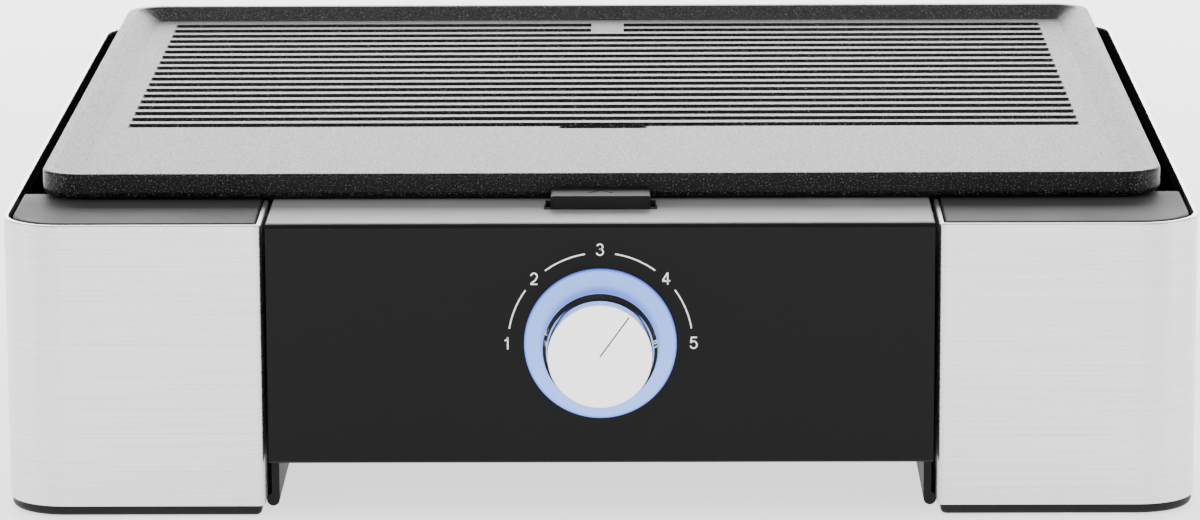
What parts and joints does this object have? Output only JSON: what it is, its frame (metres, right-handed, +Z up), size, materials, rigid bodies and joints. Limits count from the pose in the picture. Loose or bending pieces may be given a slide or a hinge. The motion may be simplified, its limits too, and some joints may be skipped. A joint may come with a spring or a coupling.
{
  "type": "electric table grill",
  "caption": "Electric indoor grill with steel side casings, a black control panel with a lit dial, a lift-off ribbed griddle plate and a pull-out drip tray.",
  "frame": {"origin": "centre of the outline's underside, on the table, the knob included", "axes": "+Z up, the front with the knob faces -Y, +X to the right seen from the front"},
  "size_m": [0.44, 0.456, 0.12],
  "materials": {
    "brushed_casing": "fine brushed",
    "black_plastic": "satin",
    "panel_black": "satin gloss",
    "cover_grey": "satin",
    "shelf_grey": "satin",
    "lever_grey": "satin",
    "foot_rubber": "matte",
    "nonstick": "speckled non-stick coating",
    "pan_sheet": "mill",
    "heater_steel": "oxidised steel",
    "bracket_steel": "zinc plated",
    "ceramic_white": "matte",
    "resin_tan": "moulded",
    "brass_metal": "turned",
    "knob_chrome": "polished",
    "face_pale": "satin",
    "pointer_dark": "printed line",
    "ring_light": "frosted, lit from behind",
    "board_green": "circuit board",
    "chip_white": "light chips",
    "inlet_black": "moulded",
    "block_cream": "moulded",
    "cutout_steel": "plain",
    "lead_black": "insulation",
    "lead_red": "silicone insulation",
    "lead_blue": "insulation",
    "tray_steel": "brushed",
    "screw_steel": "zinc plated",
    "spring_steel": "wire",
    "pin_steel": "ground"
  },
  "bodies": {
    "base": {"steel_casing_left": "brushed_casing", "steel_casing_right": "brushed_casing", "foot_trim_left": "black_plastic", "foot_trim_right": "black_plastic", "rubber_feet": "foot_rubber", "side_housing_left": "black_plastic", "side_housing_right": "black_plastic", "centre_chassis": "black_plastic", "pod_cover_left": "cover_grey", "pod_cover_right": "cover_grey", "front_panel": "panel_black", "centre_shelf": "shelf_grey", "back_panel": "black_plastic", "heater_pan": "pan_sheet", "heater_tube": "heater_steel", "heater_brackets": "bracket_steel", "heater_terminals": "ceramic_white", "plate_rests": "ceramic_white", "thermostat": "resin_tan", "thermostat_bracket": "bracket_steel", "thermostat_nut": "brass_metal", "light_ring": "ring_light", "light_board": "board_green", "light_chips": "chip_white", "power_inlet": "inlet_black", "inlet_pins": "brass_metal", "terminal_block": "block_cream", "thermal_cutout": "cutout_steel", "supply_leads": "lead_black", "heater_leads": "lead_red", "light_leads": "lead_blue", "foot_screws": "screw_steel", "chassis_screws": "screw_steel", "panel_screws": "screw_steel", "inlet_screws": "screw_steel"},
    "knob": {"thermostat_shaft": "bracket_steel", "control_knob": "knob_chrome", "knob_face": "face_pale", "knob_pointer": "pointer_dark"},
    "plate": {"grill_plate": "nonstick"},
    "lever": {"release_lever": "lever_grey", "lever_pin": "pin_steel", "lever_spring": "spring_steel"},
    "tray": {"drip_tray": "tray_steel", "tray_handle": "black_plastic"}
  },
  "joints": [
    {"name": "knob_turn", "type": "hinge", "parent": "base", "child": "knob", "pos_m": [0, -0.206, 0.0655], "axis": [0, 1, 0], "range_deg": [-171, 54]},
    {"name": "plate_lift", "type": "slide", "parent": "base", "child": "plate", "axis": [0, 0, 1], "range_m": [0, 0.08]},
    {"name": "lever_tilt", "type": "hinge", "parent": "base", "child": "lever", "pos_m": [0, -0.174, 0.11135], "axis": [1, 0, 0], "range_deg": [0, 25], "stiffness_Nm_per_rad": 0.01, "springref_deg": -17.19},
    {"name": "tray_slide", "type": "slide", "parent": "base", "child": "tray", "axis": [0, 1, 0], "range_m": [0, 0.28]}
  ]
}
